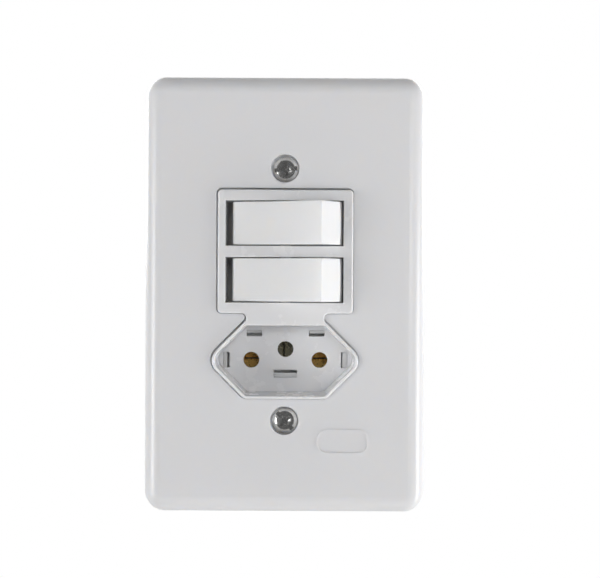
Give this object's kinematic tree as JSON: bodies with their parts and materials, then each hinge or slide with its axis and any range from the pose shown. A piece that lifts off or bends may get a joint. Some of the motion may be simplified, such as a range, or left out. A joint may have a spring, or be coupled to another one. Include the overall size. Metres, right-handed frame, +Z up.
{
  "type": "switch and socket combination",
  "caption": "Wall cover plate with stacked rocker switches above a pin socket in a hexagonal recess, on a steel bracket with screw terminals behind.",
  "frame": {"origin": "on the wall plane, midway between the screws that hold the set to its wall box", "axes": "+Z up the wall, +Y into the wall, +X to the right as seen from the room"},
  "size_m": [0.0774, 0.0373, 0.12],
  "materials": {
    "white_plate": "glossy moulded white",
    "white_module": "glossy moulded white",
    "white_rocker": "glossy moulded white",
    "grey_back": "matt moulded light grey",
    "nickel_plate": "nickel-plated steel",
    "zinc_steel": "zinc-plated steel",
    "spring_steel": "drawn steel wire",
    "brass": "stamped brass",
    "tinned_brass": "tin-plated brass",
    "silver": "contact silver",
    "plunger_nylon": "matt black nylon"
  },
  "bodies": {
    "wall_set": {"cover_plate": "white_plate", "mounting_bracket": "zinc_steel", "front_housing": "white_module", "rear_housing": "grey_back", "plate_screw_top": "nickel_plate", "plate_screw_bottom": "nickel_plate", "contact_tip_fixed_upper": "silver", "common_terminal_upper": "brass", "load_terminal_upper": "brass", "contact_tip_fixed_lower": "silver", "common_terminal_lower": "brass", "load_terminal_lower": "brass", "socket_contact_left": "brass", "socket_contact_right": "brass", "socket_contact_earth": "tinned_brass", "terminal_screw_upper_common": "zinc_steel", "terminal_screw_upper_load": "zinc_steel", "terminal_screw_lower_common": "zinc_steel", "terminal_screw_lower_load": "zinc_steel", "terminal_screw_socket_left": "zinc_steel", "terminal_screw_socket_right": "zinc_steel", "terminal_screw_socket_earth": "zinc_steel", "bracket_rivet_1": "zinc_steel", "bracket_rivet_2": "zinc_steel", "bracket_rivet_3": "zinc_steel", "bracket_rivet_4": "zinc_steel"},
    "rocker_upper": {"rocker_upper": "white_rocker", "plunger_spring_upper": "spring_steel"},
    "plunger_upper": {"plunger_upper": "plunger_nylon"},
    "contact_lever_upper": {"contact_lever_upper": "brass", "contact_tip_moving_upper": "silver"},
    "rocker_lower": {"rocker_lower": "white_rocker", "plunger_spring_lower": "spring_steel"},
    "plunger_lower": {"plunger_lower": "plunger_nylon"},
    "contact_lever_lower": {"contact_lever_lower": "brass", "contact_tip_moving_lower": "silver"}
  },
  "joints": [
    {"name": "rocker_upper_tilt", "type": "hinge", "parent": "wall_set", "child": "rocker_upper", "pos_m": [0, -0.005, 0.01945], "axis": [0, 0, 1], "range_deg": [0, 33.2]},
    {"name": "plunger_upper_slide", "type": "slide", "parent": "rocker_upper", "child": "plunger_upper", "axis": [0.2857, 0.9583, 0], "range_m": [-0.0012, 0], "stiffness_N_per_m": 200, "deforming": ["plunger_spring_upper"]},
    {"name": "contact_lever_upper_tilt", "type": "hinge", "parent": "wall_set", "child": "contact_lever_upper", "pos_m": [0, 0.01045, 0.01945], "axis": [0, 0, 1], "range_deg": [-16, 0]},
    {"name": "rocker_lower_tilt", "type": "hinge", "parent": "wall_set", "child": "rocker_lower", "pos_m": [0, -0.005, 0.0041], "axis": [0, 0, 1], "range_deg": [0, 33.2]},
    {"name": "plunger_lower_slide", "type": "slide", "parent": "rocker_lower", "child": "plunger_lower", "axis": [0.2857, 0.9583, 0], "range_m": [-0.0012, 0], "stiffness_N_per_m": 200, "deforming": ["plunger_spring_lower"]},
    {"name": "contact_lever_lower_tilt", "type": "hinge", "parent": "wall_set", "child": "contact_lever_lower", "pos_m": [0, 0.01045, 0.0041], "axis": [0, 0, 1], "range_deg": [-16, 0]}
  ],
  "couplings": [
    {"joint": "contact_lever_upper_tilt", "follows": "rocker_upper_tilt", "ratio": -0.4819},
    {"joint": "contact_lever_lower_tilt", "follows": "rocker_lower_tilt", "ratio": -0.4819}
  ]
}
